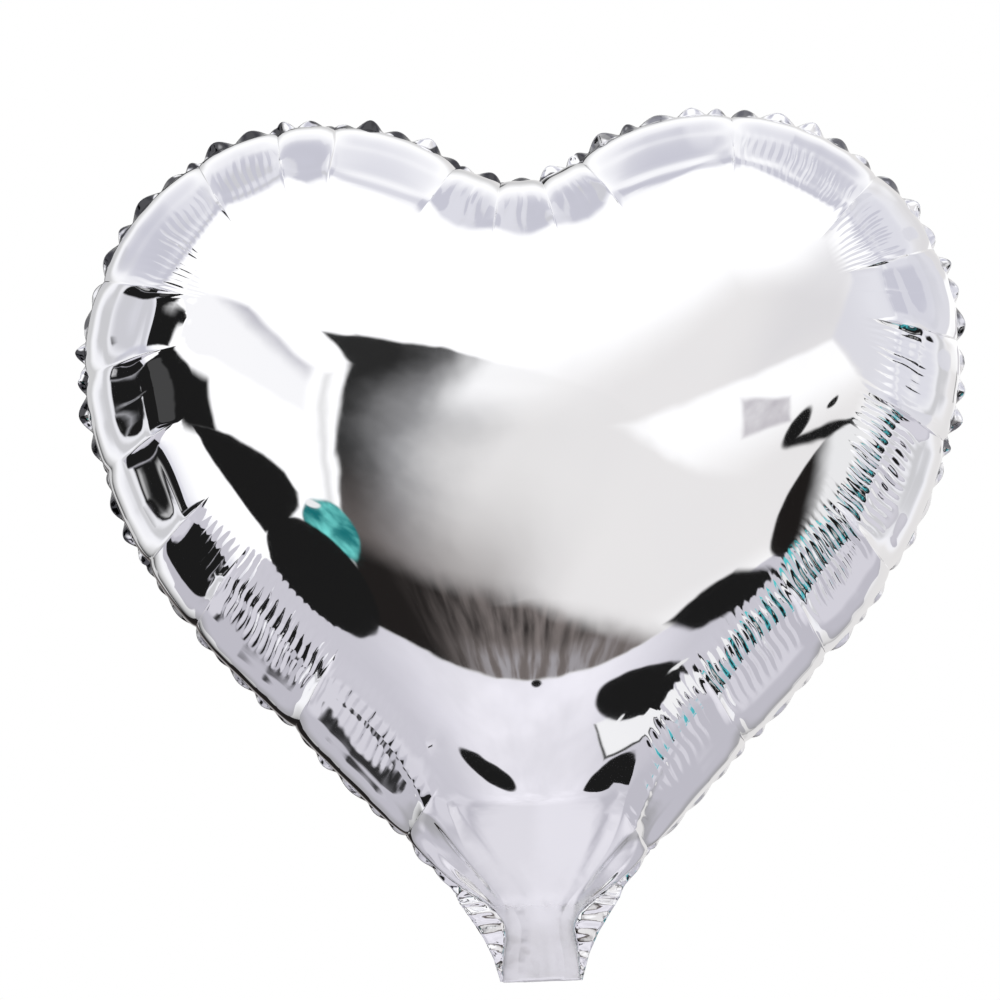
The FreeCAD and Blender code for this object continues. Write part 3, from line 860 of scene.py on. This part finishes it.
    for shape in (
        (-0.74, 0.06, 0.2, 0.12, 0, 0.1),
        (-0.385, -0.264, 0.14, 0.088, 43, 0.05),
        (0.285, -0.418, 0.135, 0.045, -26),
        (0.32, -0.615, 0.1, 0.05, -12),
        (-0.18, -0.535, 0.095, 0.035, -10, 0.14),
        (0.40, -0.03, 0.04, 0.024, 40, 0.3),
        (0.5, -0.008, 0.02, 0.008, 20, 0.4),
        (0.011, -0.309, 0.011, 0.008, 0, 0.4),
    ):
        dark = dark.greatest(ellipse(place, *shape))
    colour = (dark * shown).greatest(dark_beside).over(BLACK, colour)
    for angle_at, half_width in ((-40, 2.2), (-32, 1.2)):
        teal_beside = beside(around, rim, angle_at, half_width, 0.8, 1.2, wave)
        colour = teal_beside.over((0.08, 0.5, 0.55, 1.0), colour)
    lit = beside(around, rim, -18, 1.5, 0.86, 1.2, wave) + beside(around, rim, 193, 4, 1.22, 1.29, wave)
    colour = (lit * 0.8).over(grey(0.7), colour)
    shine = ellipse(place, 0.262, -0.455, 0.012, 0.006, 30, 0.4)
    shine = shine.greatest(ellipse(place, 0.375, -0.425, 0.022, 0.006, -10, 0.4))
    colour = (shine * shown).over(grey(0.85), colour)
    far_corners = [(0.53, -0.46), (0.3, -0.44)]
    bag = polygon(place, [(0.16, -0.4), (0.268, -0.548), (0.53, -0.6)] + far_corners, 0.006)
    bag_inside = polygon(place, [(0.168, -0.405), (0.272, -0.54), (0.53, -0.59)] + far_corners, 0.006)
    colour = (bag * shown * (1.0 - dark) * 0.9).over(grey(0.95), colour)
    colour = ((bag - bag_inside) * shown).over(grey(0.05), colour)
    sign = polygon(place, [(0.267, -0.008), (0.375, -0.012), (0.36, 0.036), (0.25, 0.056)], 0.012)
    colour = (sign * shown * (0.3 + grain)).over(grey(0.5, (1.0, 0.95, 1.02)), colour)
    inner = ellipse(place, -0.75, 0.05, 0.09, 0.08, 0, 0.2)
    colour = (inner * shown).over(grey(0.06), colour)
    glints = ellipse(place, 0.6, -0.37, 0.09, 0.016, -40, 0.3) * shown
    colour = glints.over((0.1, 0.6, 0.62, 1.0), colour)
    return colour


def studio():
    """A white studio to the camera, a pale one as light, and the room above to the foil."""
    world = bpy.data.worlds.new("studio")
    bpy.context.scene.world = world
    world.use_nodes = True
    world.cycles.sampling_method = "NONE"
    Field.tree = world.node_tree
    outputs = Field.node("SeparateXYZ", {0: Field.source("TexCoord", "Generated")}).socket.node.outputs
    dx, dy, dz = (Field(outputs[k]) for k in range(3))
    behind = dy.step(-0.001, 0.001)
    spread = 1.0 + dy.arithmetic("ABSOLUTE")
    shrink = (1.0 + behind * 0.25) / spread
    place = Field.node("CombineXYZ", {0: dx * shrink, 1: dz * shrink, 2: 1.0})
    radius = (dx * dx + dz * dz).arithmetic("SQRT") / spread
    rim = radius + behind * (2.0 - radius * 2.0)
    shown = 1.0 - behind * rim.step(1.74, 1.62)
    reach = (dx * dx + dz * dz + 1e-6).arithmetic("SQRT")
    around = Field.node("CombineXYZ", {0: dx / reach, 1: dz / reach, 2: 1.0})
    colour = room(place, around, rim, shown)
    mirrored, seen = (Field.source("LightPath", name) for name in ("Is Glossy Ray", "Is Camera Ray"))
    colour = mirrored.over(colour, seen.over(grey(1.0), grey(0.72)))
    Field.tree.links.new(colour.socket, world.node_tree.nodes["Background"].inputs["Color"])


studio()


# ---- the pieces ----

silver, weld_silver_painted_dark = foil(), weld_foil_with_painted_dark()
front_film = make_object("front_film", *film(-1, 1), silver, FILM)
back_film = make_object("back_film", *film(1, -1), silver, FILM)
seam = make_object("seam_weld", *margin(), weld_silver_painted_dark, 2 * FILM)
for piece, slot, nodes in (
    (front_film, "foil", ("front_panel", "front_tail")),
    (back_film, "foil", ("back_panel", "back_tail")),
    (seam, "weld", ("perimeter_seal", "tail_side_seals")),
):
    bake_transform(piece)
    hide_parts(*nodes)


SHEET_COLUMNS, SHEET_STEP = 33, 0.8


def sheet(low, high, side_edges, height):
    """A wrinkled sheet in the plane of the weld, from one height to another: its edges at side_edges(z), its
    distance from the plane at height(x, z)."""
    z = np.linspace(low, high, max(3, int((high - low) / SHEET_STEP)))
    left, right = side_edges(z)
    x = left[:, None] + (right - left)[:, None] * np.linspace(0, 1, SHEET_COLUMNS)
    level = np.broadcast_to(z[:, None], x.shape)
    points = np.stack([x, height(x, level), level], -1).reshape(-1, 3)
    return points, grid_quads(np.arange(len(points)).reshape(x.shape))


def join(*parts):
    """Several meshes as one."""
    points, faces = [], []
    for part_points, part_faces in parts:
        first = sum(len(p) for p in points)
        points.append(part_points)
        faces += [[first + k for k in face] for face in part_faces]
    return np.concatenate(points), faces


def valve():
    """The two valve films inside the body and in the tail, their seals and the release coat."""
    clear, seal, ink = valve_plastic(), valve_weld(), release_ink()
    film_low, film_high = node_box("valve_front_film")
    mouth_low, mouth_high = node_box("valve_mouth_front_film")
    coat_low, coat_high = node_box("valve_release_coat")
    anchor_low, anchor_high = node_box("valve_anchor_welds")
    root, tip = film_low[2], film_high[2]
    half, tip_half, seal_width = film_high[0], 10.0, 2.0
    gap, anchor_gap, coat_gap = 0.35, 0.75, 0.15  # distances from the plane between the two films

    def body_half(z):
        return np.interp(z, (root, tip), (half, tip_half))

    def wrinkle(x, z, phase):
        return 0.05 * np.sin(0.9 * x + 0.12 * z + phase) + 0.04 * np.sin(0.31 * z - 0.5 * x + 2 * phase)

    def mouth_half(z):
        return np.minimum(half, neck_run(z) - 1.6)

    def film_height(x, z, side):
        return side * (gap + wrinkle(x, z, side))

    def body_film(side):
        return sheet(root, tip, lambda z: (-body_half(z), body_half(z)), lambda x, z: film_height(x, z, side))

    def mouth_film(side):
        def height(x, z):
            return film_height(x, z, side) + tail_wave(x, z)

        return sheet(mouth_low[2], mouth_high[2], lambda z: (-mouth_half(z), mouth_half(z)), height)

    def edge_seal(side):
        def edges(z):
            outer, inner = side * body_half(z), side * (body_half(z) - seal_width)
            return (inner, outer) if side > 0 else (outer, inner)

        return sheet(root, tip, edges, lambda x, z: wrinkle(x, z, 0) * 0.5)

    def anchor(side):
        def edges(z):
            return np.full_like(z, anchor_low[0]), np.full_like(z, anchor_high[0])

        def height(x, z):
            return side * anchor_gap + wrinkle(x, z, 1) * 0.3

        return sheet(anchor_low[2], anchor_high[2], edges, height)

    def coat_edges(z):
        return np.maximum(coat_low[0], 1 - mouth_half(z)), np.minimum(coat_high[0], mouth_half(z) - 1)

    def coat_height(x, z):
        return -coat_gap - wrinkle(x, z, -1) * 0.4 + tail_wave(x, z)

    coat = sheet(coat_low[2], coat_high[2], coat_edges, coat_height)
    seals = join(edge_seal(-1), edge_seal(1))
    anchors = join(anchor(-1), anchor(1))
    for name, parts, look, body, node, thick in (
        ("valve_front_sheet", body_film(-1), clear, "valve_front", "valve_front_film", 0.1),
        ("valve_back_sheet", body_film(1), clear, "valve_back", "valve_back_film", 0.1),
        ("valve_edge_seals", seals, seal, "valve_front", "valve_edge_welds", 0.36),
        ("valve_mouth_front_sheet", mouth_film(-1), clear, "tail", "valve_mouth_front_film", 0.1),
        ("valve_mouth_back_sheet", mouth_film(1), clear, "tail", "valve_mouth_back_film", 0.1),
        ("release_coat_print", coat, ink, "tail", "valve_release_coat", 0.06),
        ("valve_anchor_seals", anchors, seal, "envelope", "valve_anchor_welds", 0.4),
    ):
        piece = make_object(name, *parts, look, thick)
        piece.modifiers[0].offset = 0
        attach(piece, body)
        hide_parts(node)


valve()


FLOOR_RADIUS, FLOOR_Z = 2000, -340
FLOOR_FADE = (1900, 700)  # distances at which the floor has gone and is still whole
FLOOR_SIDES = 96


def floor_and_lights():
    """A pale floor well below the balloon, fading into the white room, and two soft lamps. The foil mirrors
    neither."""
    made, shader = material("floor", Roughness=0.8)
    place = object_place()
    tone = place.noise(0.004, 4.0)
    feed(shader, "Base Color", tone.over((0.86, 0.86, 0.87, 1), (0.93, 0.93, 0.935, 1)))
    flat = Field.node("VectorMath", {0: place, 1: (1, 1, 0)}, operation="MULTIPLY")
    away = Field.node("VectorMath", {0: flat}, output=1, operation="LENGTH")
    feed(shader, "Alpha", away.step(*FLOOR_FADE))
    bumps(shader, place.noise(0.05, 3.0), 0.4)
    turns = np.linspace(0, 2 * math.pi, FLOOR_SIDES + 1)[:-1]
    ring = [(FLOOR_RADIUS * math.cos(turn), FLOOR_RADIUS * math.sin(turn), 0) for turn in turns]
    ground = make_object("floor", ring, [list(range(FLOOR_SIDES))], made)
    ground.location.z = FLOOR_Z * MM
    ground.visible_glossy = False
    for name, location, size, power in (
        ("soft_lamp_above", (-0.6, -0.9, 1.9), 1.6, 26.0),
        ("soft_lamp_right", (1.6, -1.2, 1.0), 1.4, 10.0),
    ):
        data = bpy.data.lights.new(name, "AREA")
        data.size, data.energy = size, power
        lamp = bpy.data.objects.new(name, data)
        bpy.context.scene.collection.objects.link(lamp)
        lamp.location = location
        aim = Vector((0, 0, 0.1)) - lamp.location
        lamp.rotation_euler = aim.to_track_quat("-Z", "Y").to_euler()
        lamp.visible_glossy = False
        lamp.visible_camera = False


floor_and_lights()


CAMERA_AT = (-0.0113, -2.0, 0.1759)
CAMERA_TURN = math.radians(1.8)
CAMERA_LENS = 170.3


def place_camera():
    """A long lens straight in front of the balloon, turned a little about its axis."""
    data = bpy.data.cameras.new("camera")
    camera = bpy.data.objects.new("camera", data)
    bpy.context.scene.collection.objects.link(camera)
    camera.location = CAMERA_AT
    camera.rotation_euler = (math.pi / 2, CAMERA_TURN, 0)
    data.lens = CAMERA_LENS
    bpy.context.scene.camera = camera
    bpy.context.scene.view_settings.view_transform = "Standard"


place_camera()
